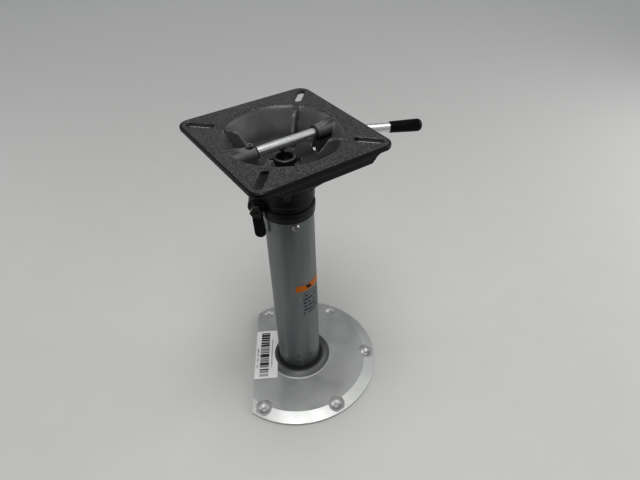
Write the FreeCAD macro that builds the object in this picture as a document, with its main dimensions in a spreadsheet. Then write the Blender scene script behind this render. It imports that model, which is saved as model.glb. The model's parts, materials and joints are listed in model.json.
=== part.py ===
"""Swivel seat pedestal: D-cut floor base, telescoping post on a gas spring, clamp collar, seat mount.

Millimetres. The origin is on the post's axis under the base, +Z up, the base's flat towards -X.
The seat mount is drawn square to its own axes (u along X, v along Y) and turned about Z by seat_turn.
"""
import FreeCAD, Part
import Sketcher
import math
import os
import re

V = FreeCAD.Vector
Z_AXIS = V(0, 0, 1)

# Driving dimensions: (alias, value, what it is)
SIZES = [
    ("base_radius", 114.3, "9 inch floor plate"),
    ("base_flat", 67.2, "distance of the plate's flat from the post's axis"),
    ("rim_height", 3.4, "upright rim of the plate"),
    ("bevel_radius", 98.5, "inner edge of the rim's bevel"),
    ("bevel_height", 9.0, "height of that edge"),
    ("hub_foot_radius", 46.5, "where the plate's cone meets the hub"),
    ("hub_foot_height", 11.6, "height of that edge"),
    ("hub_top_radius", 36.6, "outer edge of the hub's top"),
    ("hub_top_height", 16.0, "height of the hub's top"),
    ("hole_circle_radius", 101.6, "8 inch bolt circle"),
    ("hole_radius", 3.4, "through hole for a 1/4 inch screw"),
    ("sink_radius", 7.6, "mouth of the countersink"),
    ("spot_radius", 11.4, "spotface round each hole"),
    ("spot_floor", 4.2, "height of the spotface's floor"),
    ("relief_inner", 40.0, "recess under the plate, inner radius"),
    ("relief_outer", 62.0, "recess under the plate, outer radius"),
    ("relief_depth", 3.0, "recess under the plate, depth"),
    ("clip_well_radius", 14.0, "hole under the post for the rod's clip"),
    ("post_floor", 4.0, "height at which the post stands in the plate"),
    ("post_radius", 30.15, "2-3/8 inch post"),
    ("post_wall", 2.5, "post's wall"),
    ("post_top", 285.0, "height of the post's upper end"),
    ("seal_radius", 33.4, "outer radius of the seal round the post's foot"),
    ("seal_floor", 10.5, "height of the seal's seat"),
    ("seal_top", 16.8, "height of the seal's top"),
    ("label_bottom", 122.0, "lower edge of the post's label"),
    ("label_height", 62.0, "post's label"),
    ("label_start", -86.0, "azimuth of the label's first edge, degrees"),
    ("label_turn", 88.0, "how far the label reaches round the post, degrees"),
    ("film_thick", 0.18, "label and sticker"),
    ("sticker_near_x", -33.0, "base sticker: edge nearest the post"),
    ("sticker_low_y", -42.0, "base sticker: right end"),
    ("sticker_high_y", 47.0, "base sticker: left end"),
    ("cup_height", 46.0, "top of the cup riveted into the post's foot"),
    ("cup_floor", 9.0, "upper face of the cup's floor"),
    ("cup_wall", 3.4, "cup's wall"),
    ("flange_top", 290.0, "top of the bush's flange"),
    ("flange_radius", 31.5, "radius of the bush's flange"),
    ("bush_bottom", 225.0, "lower end of the bush"),
    ("bush_sleeve_radius", 26.6, "bush's split sleeve inside the collar"),
    ("bush_sleeve_top", 304.6, "top of that sleeve"),
    ("stay_radius", 25.4, "2 inch inner tube"),
    ("stay_wall", 2.0, "inner tube's wall"),
    ("stay_bottom", 62.0, "lower end of the inner tube, seat down"),
    ("run_gap", 0.05, "radial running clearance"),
    ("fit_gap", 0.02, "gap between pieces that sit on each other"),
    ("collar_radius", 32.2, "clamp collar"),
    ("collar_top", 305.2, "top of the clamp collar"),
    ("groove_radius", 29.3, "waist between the collar and the seat mount"),
    ("groove_bottom", 298.6, "lower edge of the waist"),
    ("lug_radius", 10.5, "barrel-shaped lugs of the collar"),
    ("lug_reach", 14.4, "lugs' half length along the bolt"),
    ("slit", 3.0, "slit of the collar"),
    ("clamp_x", -35.6, "clamp bolt's axis"),
    ("clamp_z", 299.0, "clamp bolt's height"),
    ("bolt_radius", 4.0, "clamp bolt, M8"),
    ("hex_flats", 13.0, "across the flats of its head and nut"),
    ("washer_radius", 7.8, "clamp washers"),
    ("washer_thick", 1.2, "clamp washers"),
    ("lever_thick", 4.6, "clamp lever"),
    ("lever_length", 33.0, "clamp lever, from bolt to end's centre"),
    ("lever_half_width", 6.6, "clamp lever"),
    ("lever_lean", 2.5, "clamp lever's lean at rest, degrees"),
    ("spigot_radius", 4.0, "piston rod's lower end"),
    ("spigot_bottom", 0.8, "height of that end"),
    ("clip_groove", 2.2, "height of the groove for the rod's clip"),
    ("clip_groove_width", 1.2, "that groove"),
    ("rod_radius", 5.0, "piston rod"),
    ("race_radius", 13.0, "ball bearing's races"),
    ("race_thick", 2.4, "ball bearing's races"),
    ("ball_radius", 2.0, "ball bearing's balls"),
    ("ball_circle_radius", 9.2, "ball bearing's pitch circle"),
    ("ball_height", 13.2, "height of the balls' centres"),
    ("shoulder_height", 17.4, "piston rod's shoulder on the upper race"),
    ("gas_radius", 14.0, "gas spring's cylinder"),
    ("gas_bore", 11.5, "bore of that cylinder"),
    ("gas_bottom", 50.0, "lower end of that cylinder, seat down"),
    ("gland_height", 8.0, "gas spring's gland"),
    ("piston_bottom", 187.0, "height of the piston"),
    ("piston_height", 8.0, "length of the piston"),
    ("gas_top", 340.1, "shoulder of the cylinder under the mount's floor"),
    ("neck_radius", 8.6, "threaded neck of the cylinder"),
    ("neck_top", 348.6, "top of that neck"),
    ("valve_length", 40.0, "solid head of the cylinder that guides the release pin"),
    ("pin_radius", 3.3, "release pin"),
    ("pin_length", 30.0, "release pin, below the cylinder's shoulder"),
    ("cap_thick", 1.8, "release pin's cap"),
    ("cap_sink", 4.7, "how deep that cap lies in the nut's ring"),
    ("seat_turn", 32.5, "seat mount's turn about the post, degrees"),
    ("plate_side_u", 168.0, "seat plate along u"),
    ("plate_side_v", 177.8, "seat plate along v, 7 inches"),
    ("plate_top", 386.0, "seat plate's upper face"),
    ("plate_thick", 5.2, "seat plate"),
    ("plate_corner", 14.0, "seat plate's corner radius"),
    ("lip_bottom", 380.2, "underside of the plate's lip"),
    ("lip_width", 6.0, "plate's lip"),
    ("skirt_bottom", 371.5, "underside of the two skirts"),
    ("skirt_thick", 3.6, "skirts"),
    ("skirt_half", 53.0, "skirts' half length at their underside"),
    ("skirt_slope", 10.0, "how much longer the skirts are at the lip"),
    ("slot_u", 64.6, "diagonal slots: centre along u"),
    ("slot_v", 67.4, "diagonal slots: centre along v"),
    ("slot_half_run", 11.7, "diagonal slots: half distance of end centres"),
    ("slot_radius", 4.3, "diagonal slots: half width"),
    ("bowl_rim", 66.5, "bowl: inner radius at the plate"),
    ("bowl_wall", 4.5, "bowl: wall"),
    ("bowl_foot", 51.0, "bowl: inner radius of the floor's corner"),
    ("bowl_floor", 346.5, "bowl: upper face of the floor"),
    ("floor_under", 340.2, "bowl: underside of the floor"),
    ("bowl_fillet", 11.0, "bowl: inner fillet of the floor's corner"),
    ("bowl_outer_fillet", 9.0, "bowl: outer fillet of the floor's corner"),
    ("bowl_lip", 7.0, "bowl: rounding of the rim"),
    ("window_near", 44.0, "window in the floor: inner edge along u"),
    ("window_far", 54.0, "window in the floor: outer edge along u"),
    ("window_width", 19.0, "window in the floor: far end along v"),
    ("window_start", 2.5, "window in the floor: near end along v"),
    ("window_depth", 15.5, "height that the window cuts from under the floor"),
    ("fin_cap_radius", 4.0, "round head of each wall fin"),
    ("fin_cap_height", 12.8, "that head"),
    ("rib_place", 34.0, "plate ribs: distance of the pair's inner faces from the middle"),
    ("rib_thick", 3.0, "plate ribs"),
    ("socket_radius", 32.0, "outside of the socket for the inner tube"),
    ("socket_bottom", 305.8, "mouth of the socket"),
    ("nut_ring_radius", 13.2, "star nut's ring"),
    ("nut_ring_bore", 9.8, "star nut's ring"),
    ("nut_top", 357.5, "top of the star nut"),
    ("nut_flange_thick", 2.6, "star nut's lobes"),
    ("nut_lobe_radius", 19.0, "star nut's lobes"),
    ("axle_z", 373.4, "release rod's height"),
    ("axle_radius", 5.6, "release rod"),
    ("axle_bore", 5.66, "its bearings"),
    ("boss_radius", 8.8, "bosses that carry the release rod"),
    ("left_boss_end", -35.5, "inner face of the left boss"),
    ("right_boss_end", 41.0, "inner face of the right boss"),
    ("lever_bend_u", 78.4, "where the release lever turns off"),
    ("lever_drop", 10.0, "how far the lever lies under the rod's axis"),
    ("lever_yaw", -26.5, "release lever's direction from u, degrees"),
    ("lever_reach", 92.0, "release lever from its bend to its end"),
    ("jog_run", 6.4, "how far along u the rod slants on its way down to the lever"),
    ("rod_bend", 8.0, "bend radius of the rod's axis"),
    ("rod_end", -56.0, "inner end of the release rod"),
    ("boss_screw_u", -40.5, "cap screw in the left boss"),
    ("rod_groove", 5.0, "width of the rod's groove for that screw"),
    ("cam_thick", 4.0, "release cam, along the rod"),
    ("grip_start", 57.0, "grip's mouth, from the bend"),
    ("grip_end", 96.0, "grip's tip, from the bend"),
    ("grip_mouth_radius", 6.7, "grip"),
    ("grip_end_radius", 7.4, "grip"),
]

# (azimuth in degrees, height) of the two bush screws and of the rivets in the post's foot
BUSH_SCREWS = [(-74.0, 278.0), (106.0, 278.0)]
CUP_RIVETS = [(-90.0, 30.0), (-90.0, 41.5), (-55.0, 40.7), (90.0, 30.0), (90.0, 41.5), (125.0, 40.7)]
BALLS = 10

doc = FreeCAD.newDocument("seat_pedestal")
sheet = doc.addObject("Spreadsheet::Sheet", "Sizes")
for row, (alias, number, meaning) in enumerate(SIZES, start=1):
    sheet.set(f"A{row}", meaning)
    sheet.set(f"B{row}", str(number))
    sheet.setAlias(f"B{row}", alias)
doc.recompute()

SUB_PARTS = []


def size(alias):
    """The sheet's value."""
    return float(getattr(sheet, alias))


def bound(expression):
    """The expression with every alias read from the sheet."""
    return re.sub(r"[a-z]\w*", lambda word: "Sizes." + word.group(), expression)


def bind(item, **expressions):
    """Drives properties of an object from the sheet."""
    for name, expression in expressions.items():
        item.setExpression(name, bound(expression))


def finish(item, label, placement=None):
    """Names a sub-part, places it and puts it on the list of files to write."""
    item.Label = label
    if placement is not None:
        item.Placement = placement
    SUB_PARTS.append(item)
    return item


# ---------------------------------------------------------------- bodies, sketches and features

def new_body(name):
    body = doc.addObject("PartDesign::Body", name)
    body.AllowCompound = True
    return body


def origin_plane(body, role):
    for feature in body.Origin.OriginFeatures:
        if feature.Role == role:
            return feature
    raise ValueError(role)


def new_sketch(body, name, role, offset=None):
    sketch = body.newObject("Sketcher::SketchObject", name)
    sketch.AttachmentSupport = (origin_plane(body, role), "")
    sketch.MapMode = "FlatFace"
    if offset is not None:
        sketch.AttachmentOffset = offset
    return sketch


def add_outline(sketch, corners):
    """A closed outline of straight sides. Each corner is (across, up) in words of the sheet."""
    first = sketch.GeometryCount
    count = len(corners)
    spots = [radial(360 / count * i) for i in range(count)]
    for i in range(count):
        sketch.addGeometry(Part.LineSegment(spots[i], spots[(i + 1) % count]), False)
    for i in range(count):
        sketch.addConstraint(Sketcher.Constraint("Coincident", first + i, 2, first + (i + 1) % count, 1))
    for i, (across, up) in enumerate(corners):
        pin_point(sketch, first + i, 1, across, up)


def pin_point(sketch, geometry, end, across, up):
    """Fixes a point of a sketch at (across, up) from the sketch's origin."""
    for kind, expression, axis in (("DistanceX", across, -2), ("DistanceY", up, -1)):
        if expression == "0":
            sketch.addConstraint(Sketcher.Constraint("PointOnObject", geometry, end, axis))
        else:
            index = sketch.addConstraint(Sketcher.Constraint(kind, -1, 1, geometry, end, 1.0))
            sketch.setExpression(f"Constraints[{index}]", bound(expression))


def add_circle(sketch, across, up, radius):
    index = sketch.addGeometry(Part.Circle(V(1, 1, 0), Z_AXIS, 1.0), False)
    pin_point(sketch, index, 3, across, up)
    rule = sketch.addConstraint(Sketcher.Constraint("Radius", index, 1.0))
    sketch.setExpression(f"Constraints[{rule}]", bound(radius))


def revolve(body, name, corners, cut=False, axis="V_Axis", offset=None):
    """Turns an outline in the XZ plane about the sketch's vertical axis, to add or to cut."""
    sketch = new_sketch(body, name + "_outline", "XZ_Plane", offset)
    add_outline(sketch, corners)
    kind = "PartDesign::Groove" if cut else "PartDesign::Revolution"
    feature = body.newObject(kind, name)
    feature.Profile = sketch
    feature.ReferenceAxis = (sketch, [axis])
    feature.Angle = 360.0
    doc.recompute()
    return feature


def extrude(body, name, sketch, length, cut=False, midplane=False, reverse=False):
    """Pads or pockets a sketch by a length in words of the sheet."""
    feature = body.newObject("PartDesign::Pocket" if cut else "PartDesign::Pad", name)
    feature.Profile = sketch
    feature.setExpression("Length", bound(length))
    if midplane:
        feature.SideType = "Symmetric"
    feature.Reversed = reverse
    before = body.Shape.Volume if not body.Shape.isNull() else 0.0
    doc.recompute()
    grew = feature.Shape.Volume - before
    if (grew >= 0) == cut and before:
        raise ValueError(f"{name} points the wrong way")
    return feature


def polar(body, name, feature, count):
    pattern = body.newObject("PartDesign::PolarPattern", name)
    pattern.Originals = [feature]
    pattern.Axis = (origin_axis(body), [""])
    pattern.Angle = 360.0
    pattern.Occurrences = count
    body.Tip = pattern
    doc.recompute()
    return pattern


def origin_axis(body):
    for feature in body.Origin.OriginFeatures:
        if feature.Role == "Z_Axis":
            return feature
    raise ValueError("Z_Axis")


def edges_where(feature, test):
    """The names of a feature's edges that pass a test."""
    return [f"Edge{i}" for i, edge in enumerate(feature.Shape.Edges, start=1) if test(edge)]


def round_edges(body, name, feature, test, radius):
    fillet = body.newObject("PartDesign::Fillet", name)
    fillet.Base = (feature, edges_where(feature, test))
    fillet.setExpression("Radius", bound(radius))
    doc.recompute()
    return fillet


def is_ring(edge, radius, height):
    """True for a full circle about the Z axis at that radius and height."""
    curve = edge.Curve
    if not isinstance(curve, Part.Circle):
        return False
    centre = curve.Center
    on_axis = math.hypot(centre.x, centre.y) < 0.01
    return on_axis and abs(centre.z - height) < 0.01 and abs(curve.Radius - radius) < 0.01


def turned(label, *outlines, placement=None):
    """A sub-part that is one or more plain turned rings."""
    body = new_body(label)
    for i, corners in enumerate(outlines):
        revolve(body, f"{label}_turn{i}", corners)
    return finish(body, label, placement)


def ring_outline(inner, outer, bottom, top):
    return [(inner, bottom), (outer, bottom), (outer, top), (inner, top)]


# ---------------------------------------------------------------- Part primitives

def cylinder(name, radius, height, base, direction=Z_AXIS):
    item = doc.addObject("Part::Cylinder", name)
    bind(item, Radius=radius, Height=height)
    item.Placement = FreeCAD.Placement(base, FreeCAD.Rotation(Z_AXIS, direction))
    return item


def hexagon(name, flats, height, base, direction):
    item = doc.addObject("Part::Prism", name)
    item.Polygon = 6
    bind(item, Circumradius=f"{flats} / 1.7320508", Height=height)
    item.Placement = FreeCAD.Placement(base, FreeCAD.Rotation(Z_AXIS, direction))
    return item


def box(name, low, high):
    item = doc.addObject("Part::Box", name)
    item.Length, item.Width, item.Height = high - low
    item.Placement.Base = low
    return item


def cut(name, base, tool):
    item = doc.addObject("Part::Cut", name)
    item.Base, item.Tool = base, tool
    return item


def fuse(name, *items):
    item = doc.addObject("Part::MultiFuse", name)
    item.Shapes = list(items)
    return item


def group(name, items):
    item = doc.addObject("Part::Compound", name)
    item.Links = list(items)
    return item


def radial(azimuth):
    """The level direction at an azimuth in degrees."""
    angle = math.radians(azimuth)
    return V(math.cos(angle), math.sin(angle), 0)


def turned_seat():
    """The seat mount's turn about the post."""
    return FreeCAD.Placement(V(0, 0, 0), FreeCAD.Rotation(Z_AXIS, size("seat_turn")))


# ---------------------------------------------------------------- the floor plate and the post

def base_flange():
    """Cast and machined floor plate with its flat, its hub and six-place hole circle."""
    body = new_body("base_flange")
    revolve(body, "plate_turn", [
        ("clip_well_radius", "0"),
        ("relief_inner", "0"),
        ("relief_inner", "relief_depth"),
        ("relief_outer", "relief_depth"),
        ("relief_outer", "0"),
        ("base_radius", "0"),
        ("base_radius", "rim_height"),
        ("bevel_radius", "bevel_height"),
        ("hub_foot_radius", "hub_foot_height"),
        ("hub_top_radius + 4.2", "hub_top_height - 2.4"),
        ("hub_top_radius", "hub_top_height"),
        ("seal_radius", "hub_top_height"),
        ("seal_radius", "seal_floor"),
        ("post_radius + run_gap", "seal_floor"),
        ("post_radius + run_gap", "post_floor"),
        ("clip_well_radius", "post_floor"),
    ])
    flat = new_sketch(body, "flat_outline", "XY_Plane")
    add_outline(flat, [
        ("-base_flat", "base_radius + 10"),
        ("-base_flat", "-base_radius - 10"),
        ("-base_radius - 20", "-base_radius - 10"),
        ("-base_radius - 20", "base_radius + 10"),
    ])
    extrude(body, "flat", flat, "hub_top_height + 5", cut=True, reverse=True)
    # The sixth place of the circle lies in the part that the flat cuts away.
    hole = revolve(body, "hole", [
        ("0", "-1"),
        ("hole_radius", "-1"),
        ("hole_radius", "spot_floor - (sink_radius - hole_radius) * 0.6"),
        ("sink_radius", "spot_floor"),
        ("spot_radius", "spot_floor"),
        ("spot_radius", "hub_top_height"),
        ("0", "hub_top_height"),
    ], cut=True, offset=FreeCAD.Placement(V(size("hole_circle_radius"), 0, 0), FreeCAD.Rotation()))
    polar(body, "hole_circle", hole, 6)
    return finish(body, "base_flange")


def post_tube():
    """The outer tube, drilled for the bush screws and the cup's rivets."""
    outer = cylinder("post_outside", "post_radius", "post_top - post_floor", V(0, 0, size("post_floor")))
    inner = cylinder("post_bore", "post_radius - post_wall", "post_top", V(0, 0, 0))
    tube = cut("post_blank", outer, inner)
    drills = []
    for i, (azimuth, height) in enumerate(BUSH_SCREWS + CUP_RIVETS):
        radius = "bolt_radius * 0.55" if height > size("cup_height") else "bolt_radius * 0.41"
        start = V(0, 0, height)
        drills.append(cylinder(f"post_drill{i}", radius, "post_radius + 5", start, radial(azimuth)))
    return finish(cut("post", tube, fuse("post_drills", *drills)), "post_tube")


def button_screws():
    """Button-head screws that hold the bush in the post: a turned head and shank each."""
    screws = []
    for i, (azimuth, height) in enumerate(BUSH_SCREWS):
        along = radial(azimuth)
        start = along * (size("bush_sleeve_radius") - 0.4) + V(0, 0, height)
        shank = cylinder(f"bush_shank{i}", "bolt_radius * 0.52", "5.0", start, along)
        seat = along * (size("post_radius") + 0.02) + V(0, 0, height)
        head = doc.addObject("Part::Cone", f"bush_head{i}")
        bind(head, Radius1="bolt_radius * 1.22", Radius2="bolt_radius * 0.8", Height="bolt_radius * 0.55")
        head.Placement = FreeCAD.Placement(seat, FreeCAD.Rotation(Z_AXIS, along))
        socket = hexagon(f"bush_socket{i}", "2.6", "3.0", seat + along * 0.9, along)
        screws.append(cut(f"bush_screw{i}", fuse(f"bush_blank{i}", shank, head), socket))
    return finish(group("bush_screw_group", screws), "bush_screws")


def cup_rivets():
    """Flush rivets through the post's foot into the cup."""
    rivets = []
    for i, (azimuth, height) in enumerate(CUP_RIVETS):
        along = radial(azimuth)
        start = along * (size("post_radius") - size("post_wall") - 2.4) + V(0, 0, height)
        shank = cylinder(f"rivet_shank{i}", "bolt_radius * 0.4", "post_wall + 2.6", start, along)
        seat = along * (size("post_radius") + 0.02) + V(0, 0, height)
        head = cylinder(f"rivet_head{i}", "bolt_radius * 0.55", "0.35", seat, along)
        rivets.append(fuse(f"rivet{i}", shank, head))
    return finish(group("rivet_group", rivets), "cup_rivets")


def bottom_cup():
    """Cup riveted into the post's foot; its floor carries the bearing."""
    wall_outer = "post_radius - post_wall - run_gap"
    blank = new_body("cup_blank")
    revolve(blank, "cup_turn", [
        ("spigot_radius + 0.06", "post_floor"),
        (wall_outer, "post_floor"),
        (wall_outer, "cup_height"),
        (wall_outer + " - cup_wall", "cup_height"),
        (wall_outer + " - cup_wall", "cup_floor"),
        ("spigot_radius + 0.06", "cup_floor"),
    ])
    drills = []
    for i, (azimuth, height) in enumerate(CUP_RIVETS):
        start = radial(azimuth) * (size("post_radius") - 10) + V(0, 0, height)
        drills.append(cylinder(f"cup_drill{i}", "bolt_radius * 0.41", "12", start, radial(azimuth)))
    return finish(cut("cup", blank, fuse("cup_drills", *drills)), "bottom_cup")


def swivel_bush():
    """Plastic bush in the post's mouth, with a flange and a slit sleeve that the collar squeezes."""
    blank = new_body("bush_blank_body")
    revolve(blank, "bush_turn", [
        ("stay_radius + run_gap", "bush_bottom"),
        ("post_radius - post_wall - run_gap", "bush_bottom"),
        ("post_radius - post_wall - run_gap", "post_top"),
        ("flange_radius", "post_top"),
        ("flange_radius", "flange_top"),
        ("bush_sleeve_radius", "flange_top"),
        ("bush_sleeve_radius", "bush_sleeve_top"),
        ("stay_radius + run_gap", "bush_sleeve_top"),
    ])
    tools = []
    for i in range(4):
        middle = radial(180 + 90 * i) * size("bush_sleeve_radius")
        slot = doc.addObject("Part::Box", f"bush_slit{i}")
        bind(slot, Length="8", Width="2", Height="bush_sleeve_top - flange_top")
        turn = FreeCAD.Rotation(Z_AXIS, 90 * i)
        corner = middle + turn.multVec(V(-4, -1, 0)) + V(0, 0, size("flange_top") + 1)
        slot.Placement = FreeCAD.Placement(corner, turn)
        tools.append(slot)
    for i, (azimuth, height) in enumerate(BUSH_SCREWS):
        start = radial(azimuth) * (size("bush_sleeve_radius") - 0.5) + V(0, 0, height)
        tools.append(cylinder(f"bush_drill{i}", "bolt_radius * 0.55", "4", start, radial(azimuth)))
    return finish(cut("bush", blank, fuse("bush_tools", *tools)), "swivel_bush")


def post_label():
    """Thin wrap-round label on the post."""
    sector = doc.addObject("Part::Cylinder", "label_sector")
    bind(sector, Radius="post_radius + fit_gap + film_thick", Height="label_height", Angle="label_turn")
    foot = V(0, 0, size("label_bottom"))
    sector.Placement = FreeCAD.Placement(foot, FreeCAD.Rotation(Z_AXIS, size("label_start")))
    inside = cylinder("label_inside", "post_radius + fit_gap", "label_height + 20", foot - V(0, 0, 10))
    return finish(cut("label", sector, inside), "post_label")


def base_sticker():
    """Thin sticker that follows the plate's cone and the hub's flank beside the flat."""
    shell = new_body("sticker_shell")
    profile = [
        ("hub_top_radius + 1.05", "hub_top_height - 0.6"),
        ("hub_top_radius + 4.2", "hub_top_height - 2.4"),
        ("hub_foot_radius", "hub_foot_height"),
        ("bevel_radius", "bevel_height"),
    ]
    under = [(across, up + " + fit_gap") for across, up in profile]
    over = [(across, up + " + film_thick") for across, up in reversed(profile)]
    revolve(shell, "sticker_turn", under + over)
    sheet_area = box("sticker_area", V(-size("base_flat") + 0.2, size("sticker_low_y"), 0),
                     V(size("sticker_near_x"), size("sticker_high_y"), 30))
    area = doc.addObject("Part::Common", "sticker")
    area.Base, area.Tool = shell, sheet_area
    return finish(area, "base_sticker")


# ---------------------------------------------------------------- the clamp

def clamp_collar():
    """Split collar with a waist and two barrel-shaped lugs, bored for the bush's sleeve."""
    blank = new_body("collar_blank")
    revolve(blank, "collar_turn", [
        ("bush_sleeve_radius + run_gap", "flange_top"),
        ("collar_radius - 0.8", "flange_top"),
        ("collar_radius", "flange_top + 0.8"),
        ("collar_radius", "groove_bottom - 0.8"),
        ("collar_radius - 0.8", "groove_bottom"),
        ("groove_radius", "groove_bottom + 0.6"),
        ("groove_radius", "collar_top"),
        ("bush_sleeve_radius + run_gap", "collar_top"),
    ])
    barrel = cylinder("lug_barrel", "lug_radius", "lug_reach * 2", on_bolt(-size("lug_reach")), V(0, 1, 0))
    rounded = doc.addObject("Part::Chamfer", "lug_barrel_chamfer")
    rounded.Base = barrel
    rounded.Edges = [(i, 1.4, 1.4) for i in ring_edges(barrel)]
    web = box("lug_web", V(-34, -size("lug_reach") + 2, size("flange_top") + 0.5),
              V(-26, size("lug_reach") - 2, size("collar_top") - 2.5))
    body = fuse("collar_body", blank, rounded, web)
    bore = cylinder("collar_bore", "bush_sleeve_radius + run_gap", "40", V(0, 0, size("flange_top") - 10))
    under = cylinder("collar_underside", "flange_radius + 0.3", "10", V(0, 0, size("flange_top") - 10))
    slit = box("collar_slit", V(-60, -size("slit") / 2, size("flange_top") - 8),
               V(-20, size("slit") / 2, size("collar_top") + 5))
    hole = cylinder("bolt_hole", "bolt_radius + 0.2", "60", on_bolt(-30), V(0, 1, 0))
    spots = []
    for i, side in enumerate((-1, 1)):
        face = on_bolt(side * size("lug_reach"))
        spots.append(cylinder(f"washer_spot{i}", "washer_radius + 0.5", "10", face, V(0, side, 0)))
    above = cylinder("socket_room", "socket_radius + 0.7", "20", V(0, 0, size("collar_top")))
    tools = fuse("collar_tools", bore, under, slit, hole, above, *spots)
    return finish(cut("collar", body, tools), "clamp_collar")


def ring_edges(item):
    """Numbers of a cylinder's two circular edges."""
    doc.recompute()
    return [i for i, edge in enumerate(item.Shape.Edges, start=1) if isinstance(edge.Curve, Part.Circle)]


def on_bolt(y):
    """A point of the clamp bolt's axis."""
    return V(size("clamp_x"), y, size("clamp_z"))


def clamp_hardware():
    """Bolt, nut and the pair of washers of the clamp."""
    lug = size("lug_reach")
    washer = size("washer_thick")
    back = V(0, 1, 0)
    lever_far = -lug - washer - 0.3 - size("lever_thick")
    head_y = lever_far - 0.3
    head = hexagon("bolt_head", "hex_flats", "5.2", on_bolt(head_y), V(0, -1, 0))
    shank = cylinder("bolt_shank", "bolt_radius", "49", on_bolt(head_y), back)
    dish = cylinder("bolt_dish", "bolt_radius", "0.8", on_bolt(head_y - 5.2), back)
    finish(cut("bolt", fuse("bolt_blank", head, shank), dish), "clamp_bolt")
    block = hexagon("nut_block", "hex_flats", "6.5", on_bolt(lug + washer + 0.1), back)
    bore = cylinder("nut_bore", "bolt_radius + 0.02", "20", on_bolt(lug), back)
    finish(cut("nut", block, bore), "clamp_nut")
    washers = []
    for i, y in enumerate((-lug - washer - size("fit_gap"), lug + size("fit_gap"))):
        disc = cylinder(f"washer_disc{i}", "washer_radius", "washer_thick", on_bolt(y), back)
        hole = cylinder(f"washer_hole{i}", "bolt_radius + 0.2", "washer_thick + 4", on_bolt(y - 2), back)
        washers.append(cut(f"washer{i}", disc, hole))
    finish(group("washer_pair", washers), "clamp_washers")


def clamp_lever():
    """Flat hanging lever on the clamp bolt, with a round end."""
    body = new_body("lever_blade")
    sketch = new_sketch(body, "blade_outline", "XZ_Plane")
    add_outline(sketch, [
        ("-lever_half_width", "0 - lever_length"),
        ("lever_half_width", "0 - lever_length"),
        ("lever_half_width - 0.4", "0 - 2"),
        ("-lever_half_width + 0.4", "0 - 2"),
    ])
    extrude(body, "blade", sketch, "lever_thick")
    for name, height, radius in (("hub", "0", "lever_half_width + 0.5"),
                                 ("end", "0 - lever_length", "lever_half_width")):
        disc = new_sketch(body, name + "_circle", "XZ_Plane")
        add_circle(disc, "0", height, radius)
        extrude(body, name, disc, "lever_thick")
    hole = new_sketch(body, "hole_circle_sketch", "XZ_Plane")
    add_circle(hole, "0", "0", "bolt_radius + run_gap")
    extrude(body, "hole_cut", hole, "lever_thick + 2", cut=True, reverse=True)
    near = -size("lug_reach") - size("washer_thick") - 0.3
    lean = FreeCAD.Rotation(V(0, 1, 0), -size("lever_lean"))
    return finish(body, "clamp_lever", FreeCAD.Placement(on_bolt(near), lean))


# ---------------------------------------------------------------- bearing and gas spring

def race(label, bottom, bore):
    """One race of the thrust bearing, with its ball track."""
    disc = turned_blank(label + "_blank", bore, "race_radius", bottom, f"{bottom} + race_thick")
    track = doc.addObject("Part::Torus", label + "_track")
    bind(track, Radius1="ball_circle_radius", Radius2="ball_radius + 0.1")
    track.Placement.Base = V(0, 0, size("ball_height"))
    return finish(cut(label + "_cut", disc, track), label)


def turned_blank(name, inner, outer, bottom, top):
    blank = new_body(name)
    revolve(blank, name + "_turn", ring_outline(inner, outer, bottom, top))
    return blank


def ball_bearing():
    """Races, caged balls and the cage between them."""
    race("lower_race", "cup_floor", "spigot_radius + 1")
    race("upper_race", "shoulder_height - race_thick", "spigot_radius + 0.03")
    balls = []
    pockets = []
    for i in range(BALLS):
        centre = radial(360 / BALLS * i) * size("ball_circle_radius") + V(0, 0, size("ball_height"))
        ball = doc.addObject("Part::Sphere", f"ball{i}")
        bind(ball, Radius="ball_radius")
        ball.Placement.Base = centre
        balls.append(ball)
        pockets.append(cylinder(f"pocket{i}", "ball_radius + 0.12", "8", centre - V(0, 0, 4)))
    finish(group("ball_group", balls), "bearing_balls")
    web = turned_blank("cage_blank", "spigot_radius + 2.2", "race_radius - 0.8",
                       "ball_height - 0.8", "ball_height + 0.8")
    finish(cut("cage", web, fuse("cage_pockets", *pockets)), "ball_cage")


def piston_rod():
    """Rod that stands on the bearing and carries the piston."""
    turned("piston_rod", [
        ("0", "spigot_bottom"),
        ("spigot_radius", "spigot_bottom"),
        ("spigot_radius", "clip_groove"),
        ("spigot_radius - 1", "clip_groove"),
        ("spigot_radius - 1", "clip_groove + clip_groove_width"),
        ("spigot_radius", "clip_groove + clip_groove_width"),
        ("spigot_radius", "shoulder_height"),
        ("rod_radius", "shoulder_height"),
        ("rod_radius", "piston_bottom"),
        ("spigot_radius", "piston_bottom"),
        ("spigot_radius", "piston_bottom + piston_height + 1"),
        ("0", "piston_bottom + piston_height + 1"),
    ])
    turned("piston_head", ring_outline("spigot_radius + 0.02", "gas_bore - 0.6", "piston_bottom",
                                       "piston_bottom + piston_height"))
    turned("bump_stop", ring_outline("rod_radius + 0.05", "gas_bore", "shoulder_height + 0.1",
                                     "shoulder_height + 8"))


def piston_seal():
    """Seal ring round the middle of the piston."""
    middle = "piston_bottom + piston_height / 2"
    turned("piston_seal", ring_outline("gas_bore - 0.58", "gas_bore - run_gap",
                                       middle + " - 1.5", middle + " + 1.5"))


def rod_clip():
    """Open clip in the groove of the rod's end."""
    ring = turned_blank("clip_ring", "spigot_radius - 0.97", "spigot_radius + 3.5", "clip_groove + 0.05",
                        "clip_groove + clip_groove_width - 0.05")
    mouth = box("clip_mouth", V(0, -2.6, 0), V(20, 2.6, 5))
    return finish(cut("clip", ring, mouth), "rod_clip")


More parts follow.
